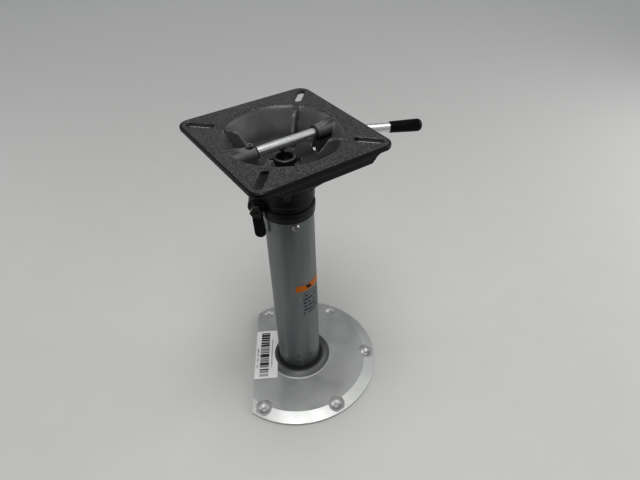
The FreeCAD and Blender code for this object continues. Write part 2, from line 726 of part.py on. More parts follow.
def gas_spring():
    """Cylinder with its threaded neck, and the gland that guides the rod."""
    turned("gas_cylinder", [
        ("gas_bore", "gas_bottom"),
        ("gas_radius", "gas_bottom"),
        ("gas_radius", "gas_top"),
        ("neck_radius", "gas_top"),
        ("neck_radius", "neck_top"),
        ("pin_radius + 0.09", "neck_top"),
        ("pin_radius + 0.09", "gas_top - valve_length"),
        ("gas_bore", "gas_top - valve_length"),
    ])
    turned("cylinder_gland", ring_outline("rod_radius + run_gap", "gas_bore - 0.02", "gas_bottom",
                                          "gas_bottom + gland_height"))


def release_pin():
    """Push pin of the gas spring with its broad cap."""
    return turned("release_pin", [
        ("0", "gas_top - pin_length"),
        ("pin_radius", "gas_top - pin_length"),
        ("pin_radius", "nut_top - cap_sink - cap_thick"),
        ("nut_ring_bore - 0.8", "nut_top - cap_sink - cap_thick"),
        ("nut_ring_bore - 0.8", "nut_top - cap_sink - 0.5"),
        ("nut_ring_bore - 1.3", "nut_top - cap_sink"),
        ("0", "nut_top - cap_sink"),
    ])


def inner_tube():
    """Inner tube pressed into the seat mount's socket, with a glide ring on its lower end."""
    turned("inner_tube", ring_outline("stay_radius - stay_wall", "stay_radius", "stay_bottom",
                                      "floor_under - 0.1"))
    turned("glide_ring", ring_outline("stay_radius + 0.02", "post_radius - post_wall - run_gap",
                                      "stay_bottom", "stay_bottom + 12"))


# ---------------------------------------------------------------- the seat mount and what it carries

def diagonal_plane():
    """Turns a sketch in the XZ plane to the seat plate's diagonal."""
    return FreeCAD.Placement(V(0, 0, 0), FreeCAD.Rotation(V(0, 1, 0), 45))


def fin(body, name, corners, thickness, count=1, offset=None):
    """A flat web about the sketch's plane, repeated about the Z axis."""
    sketch = new_sketch(body, name + "_outline", "XZ_Plane", offset)
    add_outline(sketch, corners)
    web = extrude(body, name, sketch, thickness, midplane=True)
    return polar(body, name + "_ring", web, count) if count > 1 else web


def seat_plate(body):
    """Plate with round corners, its lip, a skirt on each side along v and the bowl's opening."""
    half_u = "plate_side_u / 2"
    half_v = "plate_side_v / 2"
    sketch = new_sketch(body, "plate_outline", "XY_Plane",
                        FreeCAD.Placement(V(0, 0, size("lip_bottom")), FreeCAD.Rotation()))
    add_outline(sketch, rectangle(half_u, half_v))
    blank = extrude(body, "plate", sketch, "plate_top - lip_bottom")
    round_edges(body, "plate_corners", blank, is_upright, "plate_corner")
    well = new_sketch(body, "lip_inside", "XY_Plane",
                      FreeCAD.Placement(V(0, 0, size("lip_bottom")), FreeCAD.Rotation()))
    add_outline(well, rectangle(half_u + " - lip_width", half_v + " - lip_width"))
    depth = "plate_top - plate_thick - lip_bottom"
    hollow = extrude(body, "lip_hollow", well, depth, cut=True, reverse=True)
    round_edges(body, "plate_rim", hollow, is_outer_top, "plate_thick * 0.34")
    skirt = new_sketch(body, "skirt_outline", "XZ_Plane",
                       FreeCAD.Placement(V(0, 0, size("plate_side_v") / 2 - 0.6), FreeCAD.Rotation()))
    add_outline(skirt, [
        ("-skirt_half", "skirt_bottom"),
        ("skirt_half", "skirt_bottom"),
        ("skirt_half + skirt_slope", "lip_bottom + 1"),
        ("-skirt_half - skirt_slope", "lip_bottom + 1"),
    ])
    side = extrude(body, "skirt", skirt, "skirt_thick", reverse=True)
    polar(body, "skirts", side, 2)
    mouth = new_sketch(body, "mouth_outline", "XY_Plane",
                       FreeCAD.Placement(V(0, 0, size("skirt_bottom")), FreeCAD.Rotation()))
    add_circle(mouth, "0", "0", "bowl_rim + 1")
    extrude(body, "mouth", mouth, "plate_top - skirt_bottom + 5", cut=True, reverse=True)


def rectangle(half_across, half_up):
    """Corners of a rectangle about the sketch's origin."""
    return [(f"-({half_across})", f"-({half_up})"), (half_across, f"-({half_up})"),
            (half_across, half_up), (f"-({half_across})", half_up)]


def is_upright(edge):
    ends = [vertex.Point for vertex in edge.Vertexes]
    return len(ends) == 2 and abs(ends[0].x - ends[1].x) < 0.01 and abs(ends[0].y - ends[1].y) < 0.01


def is_outer_top(edge):
    """True for the edges round the outside of the plate's upper face."""
    box_of = edge.BoundBox
    level = abs(box_of.ZMin - size("plate_top")) < 0.01 and abs(box_of.ZMax - size("plate_top")) < 0.01
    return level and math.hypot(edge.CenterOfMass.x, edge.CenterOfMass.y) > size("bowl_rim")


def bowl_and_socket(body):
    """Steep-walled bowl under the plate and the socket for the inner tube, turned as one shell."""
    shell = revolve(body, "bowl", [
        ("neck_radius + 0.2", "bowl_floor"),
        ("bowl_foot", "bowl_floor"),
        ("bowl_rim", "plate_top"),
        ("bowl_rim + 4", "plate_top"),
        ("bowl_rim + 4", "plate_top - plate_thick"),
        ("bowl_foot + bowl_wall", "bowl_floor - bowl_wall"),
        ("socket_radius + 2", "bowl_floor - bowl_wall"),
        ("socket_radius", "socket_bottom + 10"),
        ("socket_radius", "socket_bottom + 0.8"),
        ("socket_radius - 0.8", "socket_bottom"),
        ("stay_radius + 0.02", "socket_bottom"),
        ("stay_radius + 0.02", "floor_under"),
        ("neck_radius + 0.2", "floor_under"),
    ])
    wall = size("bowl_wall")
    inner = round_edges(body, "bowl_corner", shell,
                        lambda edge: is_ring(edge, size("bowl_foot"), size("bowl_floor")),
                        "bowl_fillet")
    outer = round_edges(body, "bowl_outer_corner", inner,
                        lambda edge: is_ring(edge, size("bowl_foot") + wall, size("bowl_floor") - wall),
                        "bowl_outer_fillet")
    round_edges(body, "bowl_rounding", outer,
                lambda edge: is_ring(edge, size("bowl_rim"), size("plate_top")),
                "bowl_lip")


def seat_mount():
    """Cast seat mount: plate, bowl, socket, webs, bosses for the release rod, slots and window."""
    body = new_body("seat_mount")
    seat_plate(body)
    bowl_and_socket(body)
    fin(body, "wall_fin", [
        ("bowl_rim - 17.5", "plate_top - 5"),
        ("bowl_rim - 10.5", "plate_top - 1.8"),
        ("bowl_rim + 1", "plate_top - 1.8"),
        ("bowl_foot + 3", "bowl_floor - 1"),
        ("bowl_foot - 17", "bowl_floor - 1"),
        ("bowl_rim - 28", "bowl_floor + 18.5"),
        ("bowl_rim - 22", "plate_top - 13"),
    ], "4.6", 4, diagonal_plane())
    fin_heads(body)
    fin(body, "floor_spoke", [
        ("nut_lobe_radius + 1", "bowl_floor - 1"),
        ("nut_lobe_radius + 1", "bowl_floor + 2.4"),
        ("bowl_foot - 6", "bowl_floor + 2.4"),
        ("bowl_foot - 6", "bowl_floor - 1"),
    ], "3.2", 6)
    fin(body, "socket_web", [
        ("socket_radius - 1", "socket_bottom + 12"),
        ("bowl_foot", "bowl_floor - bowl_wall + 0.5"),
        ("socket_radius - 1", "bowl_floor - bowl_wall + 0.5"),
    ], "4", 6)
    release_boss(body, "left", "left_boss_end", "-bowl_rim + 4")
    release_boss(body, "right", "right_boss_end", "bowl_rim + 1")
    fin(body, "left_boss_foot", [
        ("left_boss_end", "axle_z"),
        ("-bowl_rim + 4", "axle_z"),
        ("-bowl_foot", "bowl_floor - 1"),
        ("left_boss_end", "bowl_floor - 1"),
    ], "boss_radius * 1.9")
    fin(body, "right_boss_foot", [
        ("right_boss_end + 2", "axle_z"),
        ("bowl_rim - 1", "axle_z"),
        ("bowl_foot + 1", "bowl_floor - 1"),
        ("right_boss_end + 2", "bowl_floor - 1"),
    ], "boss_radius")
    plate_ribs(body)
    axle_bore(body)
    slots_and_window(body)
    return finish(body, "seat_mount", turned_seat())


def fin_heads(body):
    """Round heads on the wall fins, just under the bowl's rim."""
    low = size("plate_top") - size("fin_cap_height") - 1.2
    turn = FreeCAD.Rotation(Z_AXIS, 45)
    sketch = new_sketch(body, "fin_head_outline", "XY_Plane", FreeCAD.Placement(V(0, 0, low), turn))
    add_circle(sketch, "bowl_rim - 4.5", "0", "fin_cap_radius")
    head = extrude(body, "fin_head", sketch, "fin_cap_height")
    polar(body, "fin_heads", head, 4)


def release_boss(body, name, near, far):
    """Round boss along u from the bowl's wall, with a web up to the rim."""
    sketch = new_sketch(body, name + "_boss_outline", "YZ_Plane",
                        FreeCAD.Placement(V(0, 0, size(near)), FreeCAD.Rotation()))
    add_circle(sketch, "0", "axle_z", "boss_radius")
    outward = size(near) > 0
    length = f"{far} - {near}" if outward else f"{near} - ({far})"
    extrude(body, name + "_boss", sketch, length, reverse=not outward)
    side = "" if outward else "-"
    fin(body, name + "_boss_web", [
        (f"{side}(bowl_rim - 20)", "axle_z"),
        (f"{side}(bowl_rim - 20)", "axle_z + boss_radius - 1.5"),
        (f"{side}(bowl_rim - 10)", "plate_top - 1.6"),
        (f"{side}(bowl_rim + 2)", "plate_top - 0.6"),
        (f"{side}(bowl_rim - 1)", "axle_z"),
    ], "9")


def plate_ribs(body):
    """A pair of short ribs under the plate from the bowl to each skirt."""
    sketch = new_sketch(body, "rib_outline", "XY_Plane",
                        FreeCAD.Placement(V(0, 0, size("skirt_bottom") + 1), FreeCAD.Rotation()))
    for low, high in (("rib_place", "rib_place + rib_thick"), ("-rib_place - rib_thick", "-rib_place")):
        add_outline(sketch, [
            (low, "bowl_rim - 5"),
            (high, "bowl_rim - 5"),
            (high, "plate_side_v / 2 - skirt_thick"),
            (low, "plate_side_v / 2 - skirt_thick"),
        ])
    ribs = extrude(body, "rib", sketch, "plate_top - plate_thick - skirt_bottom - 0.5")
    polar(body, "ribs", ribs, 2)


def axle_bore(body):
    """Bore for the release rod: through the right boss, blind in the left one."""
    sketch = new_sketch(body, "axle_outline", "YZ_Plane",
                        FreeCAD.Placement(V(0, 0, size("rod_end") - 1), FreeCAD.Rotation()))
    add_circle(sketch, "0", "axle_z", "axle_bore")
    extrude(body, "axle_bore", sketch, "130", cut=True, reverse=True)
    seat = new_sketch(body, "screw_seat_outline", "XY_Plane",
                      FreeCAD.Placement(V(0, 0, size("axle_z") + 7.4), FreeCAD.Rotation()))
    add_circle(seat, "boss_screw_u", "0", "5.4")
    extrude(body, "screw_seat", seat, "20", cut=True, reverse=True)
    hole = new_sketch(body, "screw_hole_outline", "XY_Plane",
                      FreeCAD.Placement(V(0, 0, size("axle_z") + 1), FreeCAD.Rotation()))
    add_circle(hole, "boss_screw_u", "0", "2.1")
    extrude(body, "screw_hole", hole, "20", cut=True, reverse=True)


def slots_and_window(body):
    """Four diagonal slots for the seat's screws, and the window cast under the right boss."""
    for name, side in (("left", 1), ("right", -1)):
        centre = V(size("slot_u"), side * size("slot_v"), size("lip_bottom") - 2)
        sketch = new_sketch(body, f"{name}_slot_outline", "XY_Plane",
                            FreeCAD.Placement(centre, FreeCAD.Rotation(Z_AXIS, side * 45)))
        add_slot(sketch)
        slot = extrude(body, f"{name}_slot", sketch, "plate_top - lip_bottom + 4", cut=True, reverse=True)
        polar(body, f"{name}_slots", slot, 2)
    window = new_sketch(body, "window_outline", "XY_Plane",
                        FreeCAD.Placement(V(0, 0, size("floor_under") - 2), FreeCAD.Rotation()))
    add_outline(window, [
        ("window_near", "window_start"),
        ("window_far + 1", "window_start"),
        ("window_far", "window_width / 2"),
        ("window_far - 4", "window_width - 2"),
        ("window_near + 5", "window_width"),
        ("window_near", "window_width / 2"),
    ])
    extrude(body, "window", window, "window_depth", cut=True, reverse=True)


def add_slot(sketch):
    """A straight slot with round ends along the sketch's horizontal axis."""
    inner = -size("slot_half_run")
    outer = size("slot_half_run")
    radius = size("slot_radius")
    quarter = math.pi / 2
    sketch.addGeometry([
        Part.LineSegment(V(inner, radius, 0), V(outer, radius, 0)),
        Part.ArcOfCircle(Part.Circle(V(outer, 0, 0), Z_AXIS, radius), -quarter, quarter),
        Part.LineSegment(V(outer, -radius, 0), V(inner, -radius, 0)),
        Part.ArcOfCircle(Part.Circle(V(inner, 0, 0), Z_AXIS, radius), quarter, 3 * quarter),
    ], False)
    sketch.addConstraint([
        Sketcher.Constraint("Tangent", 0, 2, 1, 2),
        Sketcher.Constraint("Tangent", 1, 1, 2, 1),
        Sketcher.Constraint("Tangent", 2, 2, 3, 2),
        Sketcher.Constraint("Tangent", 3, 1, 0, 1),
        Sketcher.Constraint("Equal", 1, 3),
    ])
    for arc, across, words in ((1, outer, "slot_half_run"), (3, inner, "-slot_half_run")):
        sketch.addConstraint(Sketcher.Constraint("PointOnObject", arc, 3, -1))
        place = sketch.addConstraint(Sketcher.Constraint("DistanceX", -1, 1, arc, 3, across))
        sketch.setExpression(f"Constraints[{place}]", bound(words))
    rule = sketch.addConstraint(Sketcher.Constraint("Radius", 1, radius))
    sketch.setExpression(f"Constraints[{rule}]", bound("slot_radius"))


def hub_nut():
    """Star nut on the cylinder's neck: six lobes and a raised ring."""
    body = new_body("hub_nut")
    revolve(body, "nut_ring", [
        ("neck_radius + fit_gap", "bowl_floor + fit_gap"),
        ("nut_lobe_radius - 4", "bowl_floor + fit_gap"),
        ("nut_lobe_radius - 4", "bowl_floor + nut_flange_thick"),
        ("nut_ring_radius", "bowl_floor + nut_flange_thick"),
        ("nut_ring_radius", "nut_top - 0.8"),
        ("nut_ring_radius - 0.8", "nut_top"),
        ("nut_ring_bore + 0.5", "nut_top"),
        ("nut_ring_bore", "nut_top - 0.5"),
        ("nut_ring_bore", "neck_top + 0.3"),
        ("neck_radius + fit_gap", "neck_top + 0.3"),
    ])
    fin(body, "nut_lobe", [
        ("nut_ring_radius - 1", "bowl_floor + fit_gap"),
        ("nut_lobe_radius", "bowl_floor + fit_gap"),
        ("nut_lobe_radius", "bowl_floor + nut_flange_thick + 1.2"),
        ("nut_ring_radius - 1", "bowl_floor + nut_flange_thick + 2.6"),
    ], "5.4", 6)
    return finish(body, "hub_nut", turned_seat())


def along_u(u, height):
    """A point on the seat mount's u axis, in the row frame."""
    return turned_seat().multVec(V(u, 0, height))


def rod_washers():
    """Dark washers where the release rod leaves its bosses."""
    washers = []
    direction = turned_seat().Rotation.multVec(V(1, 0, 0))
    for name, near in (("left", "left_boss_end"), ("right", "right_boss_end")):
        start = size(near) + (0.02 if name == "left" else -1.52)
        face = along_u(start, size("axle_z"))
        disc = cylinder(f"{name}_washer_disc", "axle_radius + 2.2", "1.5", face, direction)
        hole = cylinder(f"{name}_washer_hole", "axle_bore", "6", face - direction * 2, direction)
        washers.append(cut(f"{name}_washer", disc, hole))
    return finish(group("rod_washer_pair", washers), "rod_washers")


def boss_screw():
    """Cap screw whose tip holds the release rod by its groove."""
    spot = along_u(size("boss_screw_u"), size("axle_z"))
    shank = cylinder("screw_shank", "2.0", "3.4", spot + V(0, 0, 4.8))
    head = cylinder("screw_head", "4.0", "3.6", spot + V(0, 0, 7.42))
    socket = hexagon("screw_socket", "3.0", "4.0", spot + V(0, 0, 9.2), Z_AXIS)
    return finish(cut("screw", fuse("screw_blank", shank, head), socket), "boss_screw")


# ---------------------------------------------------------------- the release lever

def lever_direction():
    """The outer lever's level direction in the seat mount's axes."""
    yaw = math.radians(size("lever_yaw"))
    return V(math.cos(yaw), math.sin(yaw), 0)


def release_rod():
    """Round rod: along u through both bosses, then down and off to the side as the lever."""
    radius = size("axle_radius")
    width = size("rod_groove")
    along = V(1, 0, 0)
    bend = V(size("lever_bend_u"), 0, size("axle_z") - size("lever_drop"))
    corners = [
        V(size("rod_end"), 0, size("axle_z")),
        V(size("lever_bend_u") - size("jog_run"), 0, size("axle_z")),
        bend,
        bend + lever_direction() * size("lever_reach"),
    ]
    path = rounded_path(corners, size("rod_bend"))
    section = Part.Wire(Part.makeCircle(radius, corners[0], along))
    rod = path.makePipeShell([section], True, False)
    groove_start = V(size("boss_screw_u") - width / 2, 0, size("axle_z"))
    groove = Part.makeCylinder(radius + 2, width, groove_start, along)
    core = Part.makeCylinder(radius - 1.1, width, groove_start, along)
    item = doc.addObject("Part::Feature", "release_rod")
    item.Shape = rod.cut(groove.cut(core))
    return finish(item, "release_rod", turned_seat())


def rounded_path(corners, radius):
    """Straight runs joined by tangent arcs of one radius."""
    edges = []
    start = corners[0]
    for before, corner, after in zip(corners, corners[1:], corners[2:]):
        into = (corner - before).normalize()
        out = (after - corner).normalize()
        reach = radius * math.tan(into.getAngle(out) / 2)
        first = corner - into * reach
        last = corner + out * reach
        inward = (out - into).normalize()
        depth = radius / math.cos(into.getAngle(out) / 2) - radius
        edges.append(Part.LineSegment(start, first).toShape())
        edges.append(Part.Arc(first, corner + inward * depth, last).toShape())
        start = last
    edges.append(Part.LineSegment(start, corners[-1]).toShape())
    return Part.Wire(edges)


def release_cam():
    """Foot under the rod that presses the release pin's cap."""
    half = size("cam_thick") / 2
    cap_top = size("nut_top") - size("cap_sink")
    foot = box("cam_block", V(-half, 2.6, cap_top + 0.3), V(half, 7.4, size("axle_z") - 2))
    heel_low = size("axle_z") - size("axle_radius") - 2.5
    heel = box("cam_heel", V(-half, -1, heel_low), V(half, 4, size("axle_z") - 2))
    rod = cylinder("cam_rod", "axle_radius", "20", V(-10, 0, size("axle_z")), V(1, 0, 0))
    return finish(cut("cam", fuse("cam_blank", foot, heel), rod), "release_cam", turned_seat())


def lever_grip():
    """Moulded grip pushed over the lever's end."""
    body = new_body("grip_body")
    revolve(body, "grip_turn", [
        ("axle_radius + 0.02", "grip_start"),
        ("grip_mouth_radius", "grip_start"),
        ("grip_end_radius", "grip_end - 9"),
        ("grip_end_radius", "grip_end - 4.5"),
        ("grip_end_radius - 1.4", "grip_end - 1.6"),
        ("grip_end_radius - 4.2", "grip_end"),
        ("0", "grip_end"),
        ("0", "lever_reach + 0.1"),
        ("axle_radius + 0.02", "lever_reach + 0.1"),
    ])
    low = size("axle_z") - size("lever_drop")
    along = FreeCAD.Placement(V(size("lever_bend_u"), 0, low), FreeCAD.Rotation(Z_AXIS, lever_direction()))
    return finish(body, "lever_grip", turned_seat() * along)


# ---------------------------------------------------------------- build, check and write

def build():
    base_flange()
    post_tube()
    turned("post_seal_ring", ring_outline("post_radius + run_gap", "seal_radius - 0.02",
                                          "seal_floor + 0.02", "seal_top"))
    bottom_cup()
    cup_rivets()
    swivel_bush()
    button_screws()
    post_label()
    base_sticker()
    clamp_collar()
    clamp_hardware()
    clamp_lever()
    ball_bearing()
    piston_rod()
    piston_seal()
    rod_clip()
    gas_spring()
    release_pin()
    inner_tube()
    seat_mount()
    hub_nut()
    rod_washers()
    boss_screw()
    release_rod()
    release_cam()
    lever_grip()


def check_document():
    doc.recompute()
    for item in doc.Objects:
        if "Invalid" in item.State or "Error" in item.State:
            raise ValueError(f"{item.Label} failed: {item.State}")
    for item in SUB_PARTS:
        shape = item.Shape
        if shape.isNull() or not shape.isValid() or not shape.Solids:
            raise ValueError(f"{item.Label} has no valid solid")


def write_parts():
    os.makedirs("parts", exist_ok=True)
    for item in SUB_PARTS:
        item.Shape.exportStep(f"parts/{item.Label}.step")
        print(f"{item.Label}: {len(item.Shape.Solids)} solids, {item.Shape.Volume:.1f} mm3")


build()
check_document()
write_parts()
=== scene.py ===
"""Looks of the swivel seat pedestal: materials, softened castings, a plain studio and the camera.

Metres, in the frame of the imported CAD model: +Z up, the post's axis at x = y = 0, the floor at z = 0.
"""
import json
import math

import bmesh
import bpy
from mathutils import Matrix, Vector

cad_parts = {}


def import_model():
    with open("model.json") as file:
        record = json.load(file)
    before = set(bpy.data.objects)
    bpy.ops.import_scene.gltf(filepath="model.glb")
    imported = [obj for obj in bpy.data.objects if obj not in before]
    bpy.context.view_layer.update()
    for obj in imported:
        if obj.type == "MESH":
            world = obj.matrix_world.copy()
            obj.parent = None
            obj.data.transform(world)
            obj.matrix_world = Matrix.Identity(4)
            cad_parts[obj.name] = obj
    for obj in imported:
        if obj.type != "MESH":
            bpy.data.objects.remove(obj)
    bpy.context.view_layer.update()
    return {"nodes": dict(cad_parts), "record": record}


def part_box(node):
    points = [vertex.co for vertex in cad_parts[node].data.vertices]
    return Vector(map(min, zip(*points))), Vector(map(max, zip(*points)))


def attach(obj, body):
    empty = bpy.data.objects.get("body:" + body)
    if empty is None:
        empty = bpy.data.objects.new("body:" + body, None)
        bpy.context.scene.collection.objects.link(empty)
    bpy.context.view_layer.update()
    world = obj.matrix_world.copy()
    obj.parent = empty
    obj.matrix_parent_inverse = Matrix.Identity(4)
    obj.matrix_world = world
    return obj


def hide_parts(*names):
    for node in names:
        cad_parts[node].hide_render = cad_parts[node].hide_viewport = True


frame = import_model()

MM = 0.001
NODES = frame["nodes"]
BODIES = frame["record"]["behaviour"]["bodies"]
BODY_OF = {node: name for name, members in BODIES.items() for node in members}
SLOT_OF = {part["node"]: part["material_slot"] for part in frame["record"]["subparts"]}
POST_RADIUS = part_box("post_tube")[1].x
PLATE_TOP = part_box("seat_mount")[1].z
BOWL_FLOOR = 346.5 * MM   # upper face of the bowl's floor
HUB_FOOT = 46.5 * MM      # radius where the base's hub meets its cone
EDGE_SAMPLES = 6


# ---------------------------------------------------------------- materials

class Look:
    """A material of nodes round one Principled shader. Sizes are in millimetres of the object itself."""

    def __init__(self, name, **values):
        self.material = bpy.data.materials.new(name)
        self.material.use_nodes = True
        self.tree = self.material.node_tree
        self.shader = self.tree.nodes["Principled BSDF"]
        self.normal = None
        self.place = self.add("ShaderNodeTexCoord").outputs["Object"]
        for socket, value in values.items():
            self.shader.inputs[socket.replace("_", " ")].default_value = value

    def add(self, kind, sockets=(), **settings):
        """A new node. Each of sockets is (input name or number, plain value or another node's output)."""
        item = self.tree.nodes.new(kind)
        for key, value in settings.items():
            setattr(item, key, value)
        for key, value in sockets:
            self.feed(item.inputs[key], value)
        return item

    def feed(self, socket, value):
        """Links another node's output to the socket, or sets its plain value."""
        if isinstance(value, bpy.types.NodeSocket):
            self.tree.links.new(value, socket)
        else:
            socket.default_value = value

    def math(self, operation, *values):
        return self.add("ShaderNodeMath", list(enumerate(values)), operation=operation).outputs[0]

    def spread(self, value, low, high, to_low=0.0, to_high=1.0):
        """The value from low to high, carried to to_low to to_high and held there."""
        item = self.add("ShaderNodeMapRange", [("Value", value), ("From Min", low), ("From Max", high),
                                               ("To Min", to_low), ("To Max", to_high)],
                        interpolation_type="SMOOTHSTEP")
        return item.outputs["Result"]

    def stretched(self, across, along, up):
        """The object's coordinates with each axis scaled. A pattern is drawn out along the small ones."""
        return self.add("ShaderNodeVectorMath", [(0, self.place), (1, (across, along, up))],
                        operation="MULTIPLY").outputs[0]

    def noise(self, size, detail=3.0, rough=0.5, place=None):
        """Noise from 0 to 1 whose features are size millimetres across."""
        item = self.add("ShaderNodeTexNoise", [("Vector", place or self.place), ("Scale", 1 / (size * MM)),
                                               ("Detail", detail), ("Roughness", rough)])
        return item.outputs[0]

    def pebbles(self, size, soft, place):
        """Smooth cells of that size in millimetres, from 0 in their middle."""
        item = self.add("ShaderNodeTexVoronoi", [("Vector", place), ("Scale", 1 / (size * MM)),
                                                 ("Smoothness", soft)], feature="SMOOTH_F1")
        return item.outputs["Distance"]

    def mix(self, share, first, second):
        """Colour first where share is 0 and second where it is 1."""
        item = self.add("ShaderNodeMix", data_type="RGBA")
        colours = [socket for socket in item.inputs if socket.type == "RGBA"]
        self.feed(item.inputs[0], share)
        self.feed(colours[0], first)
        self.feed(colours[1], second)
        return next(socket for socket in item.outputs if socket.type == "RGBA")

    def colour(self, value):
        self.feed(self.shader.inputs["Base Color"], value)

    def roughness(self, value):
        self.feed(self.shader.inputs["Roughness"], value)

    def relief(self, height, depth, strength=1.0):
        """Raises the surface by height, 0 to 1, times depth in millimetres."""
        item = self.add("ShaderNodeBump", [("Height", height), ("Distance", depth * MM),
                                           ("Strength", strength)])
        if self.normal is not None:
            self.feed(item.inputs["Normal"], self.normal)
        self.normal = item.outputs["Normal"]
        self.feed(self.shader.inputs["Normal"], self.normal)

    def rounded(self, radius):
        """The surface's normal as if its edges were rounded by that many millimetres."""
        bevel = self.add("ShaderNodeBevel", [("Radius", radius * MM)], samples=EDGE_SAMPLES)
        return bevel.outputs["Normal"]

    def soft_edges(self, radius):
        """Sharp edges catch the light as if rounded by that many millimetres."""
        self.normal = self.rounded(radius)
        self.feed(self.shader.inputs["Normal"], self.normal)

    def edge_wear_and_painted_highlight(self, radius):
        """1 on edges, 0 on faces: wear rubs edges bright, and a painted highlight lies along them."""
        rounded = self.rounded(radius)
        plain = self.add("ShaderNodeNewGeometry").outputs["Normal"]
        facing = self.add("ShaderNodeVectorMath", [(0, rounded), (1, plain)], operation="DOT_PRODUCT")
        turn = self.math("SUBTRACT", 1.0, facing.outputs["Value"])
        patchy = self.math("MULTIPLY", turn, self.spread(self.noise(4.0), 0.35, 0.65, 0.3, 1.0))
        return self.spread(patchy, 0.02, 0.25)

    def axes(self):
        """The object's x, y and z."""
        return self.add("ShaderNodeSeparateXYZ", [(0, self.place)]).outputs

    def from_axis(self):
        """Distance from the post's axis."""
        x, y, _ = self.axes()
        return self.math("SQRT", self.math("ADD", self.math("MULTIPLY", x, x), self.math("MULTIPLY", y, y)))

    def stripe(self, value, low, high):
        """1 between low and high, both in millimetres, else 0."""
        return self.math("MULTIPLY", self.math("GREATER_THAN", value, low * MM),
                         self.math("LESS_THAN", value, high * MM))

    def random_bars(self, value, width, share, seed=0.0):
        """Bars of random widths along value, each a whole number of widths in millimetres."""
        step = self.math("FLOOR", self.math("DIVIDE", value, width * MM))
        random = self.add("ShaderNodeTexWhiteNoise", [("W", self.math("ADD", step, seed))],
                          noise_dimensions="1D").outputs["Value"]
        return self.math("LESS_THAN", random, share)


def grey(value, warmth=0.0):
    """A grey, a little towards red and away from blue with warmth."""
    return (value * (1 + warmth), value, value * (1 - warmth), 1.0)


def hammertone_casting():
    """Charcoal powder coat: pebbled and flecked on the plate, smoother in the bowl. Painted light makes the
    bowl's sides paler than the plate; painted shade darkens the bowl's floor and, most, the faces turned
    outward and downward.
    """
    look = Look("hammertone_casting", Specular_IOR_Level=0.42, Coat_Weight=0.10, Coat_Roughness=0.22)
    drift_scale, drift_reach = 260.0, 1.2 * MM
    drift = look.add("ShaderNodeTexNoise", [("Vector", look.place), ("Scale", drift_scale), ("Detail", 2.0)])
    wander = look.add("ShaderNodeVectorMath", [(0, drift.outputs["Color"]), (1, (drift_reach,) * 3),
                                               (2, look.place)], operation="MULTIPLY_ADD").outputs[0]
    cells = look.pebbles(1.9, 0.3, wander)
    fine = look.pebbles(0.9, 0.5, wander)
    x, y, height = look.axes()
    side = look.add("ShaderNodeSeparateXYZ", [(0, look.add("ShaderNodeTexCoord").outputs["Normal"])]).outputs
    outward = look.math("ADD", look.math("MULTIPLY", x, side[0]), look.math("MULTIPLY", y, side[1]))
    # Painted shade: faces turned outward or downward get a near-black colour and a lower specular level.
    painted_outer_shade = look.math("MAXIMUM", look.spread(outward, 4.0 * MM, 16.0 * MM),
                      look.spread(side[2], -0.4, 0.0, 1.0, 0.0))
    top = look.spread(height, PLATE_TOP - 4.0 * MM, PLATE_TOP - 0.8 * MM)
    veins = look.spread(cells, 0.30, 0.60)
    flecks = look.math("MULTIPLY", veins, look.spread(look.noise(1.4), 0.42, 0.58))
    cloud = look.spread(look.noise(22.0, 4.0), 0.35, 0.65)
    # Painted light and shade: below the plate's top, the bowl's sides are paler than the plate and darker
    # near the bowl's floor.
    painted_bowl_light_and_shade = look.mix(look.spread(height, BOWL_FLOOR + 2.0 * MM, BOWL_FLOOR + 20.0 * MM), grey(0.045),
                     look.mix(cloud, grey(0.095), grey(0.125)))
    tone = look.mix(top, painted_bowl_light_and_shade, look.mix(cloud, grey(0.012), grey(0.021)))
    skin = look.mix(painted_outer_shade, look.mix(look.math("MULTIPLY", flecks, top), tone, grey(0.125)), grey(0.004))
    # Edges get a paler grey: partly wear, partly a painted highlight along them.
    look.colour(look.mix(look.math("MULTIPLY", look.edge_wear_and_painted_highlight(0.7), 0.55), skin, grey(0.13)))
    look.feed(look.shader.inputs["Metallic"], look.math("MULTIPLY", flecks, look.math("MULTIPLY", top, 0.5)))
    look.feed(look.shader.inputs["Specular IOR Level"], look.spread(painted_outer_shade, 0.0, 1.0, 0.45, 0.22))
    look.roughness(look.spread(look.math("ADD", look.noise(3.0), look.math("MULTIPLY", veins, 0.35)),
                               0.3, 1.1, 0.30, 0.50))
    look.relief(look.math("SUBTRACT", 1.0, cells), 0.22, look.math("MULTIPLY", top, 0.8))
    look.relief(fine, 0.035)
    return look


def machined_aluminium():
    """Satin turned aluminium: fine circular grain about the post's axis and faint lathe bands; painted shade
    darkens the hub.
    """
    look = Look("machined_aluminium", Metallic=1.0, Anisotropic=0.3)
    radius = look.from_axis()
    cloud = look.noise(30.0, 4.0)
    ring_scale, band_scale = 2600.0, 160.0
    rings = look.add("ShaderNodeTexNoise", [("W", look.math("MULTIPLY", radius, ring_scale)),
                                            ("Detail", 3.0)], noise_dimensions="1D").outputs[0]
    bands = look.add("ShaderNodeTexNoise", [("W", look.math("MULTIPLY", radius, band_scale)),
                                            ("Detail", 2.0)], noise_dimensions="1D").outputs[0]
    tangent = look.add("ShaderNodeTangent", direction_type="RADIAL", axis="Z").outputs[0]
    look.feed(look.shader.inputs["Tangent"], tangent)
    tone = look.mix(look.spread(cloud, 0.3, 0.7), (0.54, 0.545, 0.535, 1), (0.62, 0.625, 0.61, 1))
    turned = look.mix(look.spread(bands, 0.35, 0.65, 0.0, 0.35), tone, (0.50, 0.505, 0.50, 1))
    # Painted shade: the hub inside HUB_FOOT is given a dark grey in place of the darkness it reflects.
    hub = look.spread(radius, HUB_FOOT - 2.5 * MM, HUB_FOOT, 1.0, 0.0)
    look.colour(look.mix(hub, turned, (0.155, 0.16, 0.155, 1)))
    look.roughness(look.spread(look.math("ADD", look.math("MULTIPLY", bands, 0.5), cloud),
                               0.5, 1.0, 0.43, 0.53))
    look.soft_edges(0.5)
    look.relief(rings, 0.012)
    look.relief(look.noise(0.7, 4.0, 0.7), 0.01)
    return look


